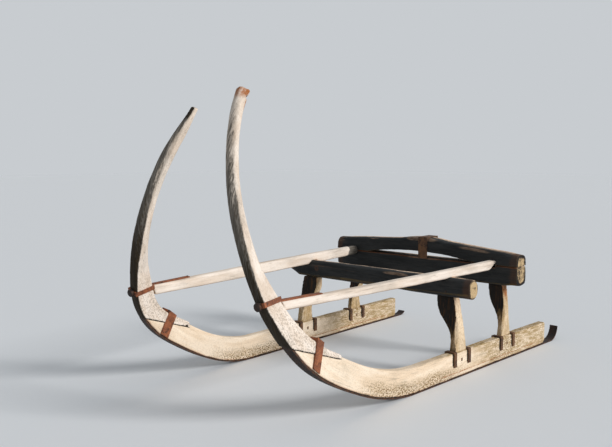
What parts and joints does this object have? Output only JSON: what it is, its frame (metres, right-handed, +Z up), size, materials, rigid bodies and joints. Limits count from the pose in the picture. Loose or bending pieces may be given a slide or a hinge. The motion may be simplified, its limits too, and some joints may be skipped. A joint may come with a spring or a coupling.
{
  "type": "horn sled",
  "caption": "Hand-built wooden mountain sled with iron-shod plank runners rising into tall curved horns, posts under cross beams, an arched load bolster and struts tied to the horns.",
  "frame": {"origin": "centre of the bounding box in plan, on the ground under the soles", "axes": "+X forward to the horns, +Y to the sled's left, +Z up"},
  "size_m": [1.9023, 1, 1.1186],
  "materials": {
    "bleached_timber": "sun-bleached, open grain",
    "knee_timber": "weathered, worn at the edges",
    "dark_timber": "black-brown, weathered, cracked",
    "peg_wood": "end grain",
    "rusty_iron": "rusted, rough"
  },
  "bodies": {
    "root": {"beam_strap": "rusty_iron", "bolster_lower": "dark_timber", "bolster_upper": "dark_timber", "front_beam": "dark_timber", "horn_band_left": "rusty_iron", "horn_band_right": "rusty_iron", "horn_bolt_left": "rusty_iron", "horn_bolt_right": "rusty_iron", "horn_left": "bleached_timber", "horn_right": "bleached_timber", "peg_front_left": "peg_wood", "peg_front_right": "peg_wood", "peg_rear_left": "peg_wood", "peg_rear_right": "peg_wood", "post_front_left": "knee_timber", "post_front_right": "knee_timber", "post_rear_left": "knee_timber", "post_rear_right": "knee_timber", "runner_left": "bleached_timber", "runner_right": "bleached_timber", "scarf_band_left": "rusty_iron", "scarf_band_right": "rusty_iron", "shoe_left": "rusty_iron", "shoe_right": "rusty_iron", "staple_front_ahead_left": "rusty_iron", "staple_front_ahead_right": "rusty_iron", "staple_front_behind_left": "rusty_iron", "staple_front_behind_right": "rusty_iron", "staple_rear_ahead_left": "rusty_iron", "staple_rear_ahead_right": "rusty_iron", "staple_rear_behind_left": "rusty_iron", "staple_rear_behind_right": "rusty_iron", "strut_left": "bleached_timber", "strut_right": "bleached_timber", "strut_strap_left": "rusty_iron", "strut_strap_right": "rusty_iron"}
  },
  "joints": []
}
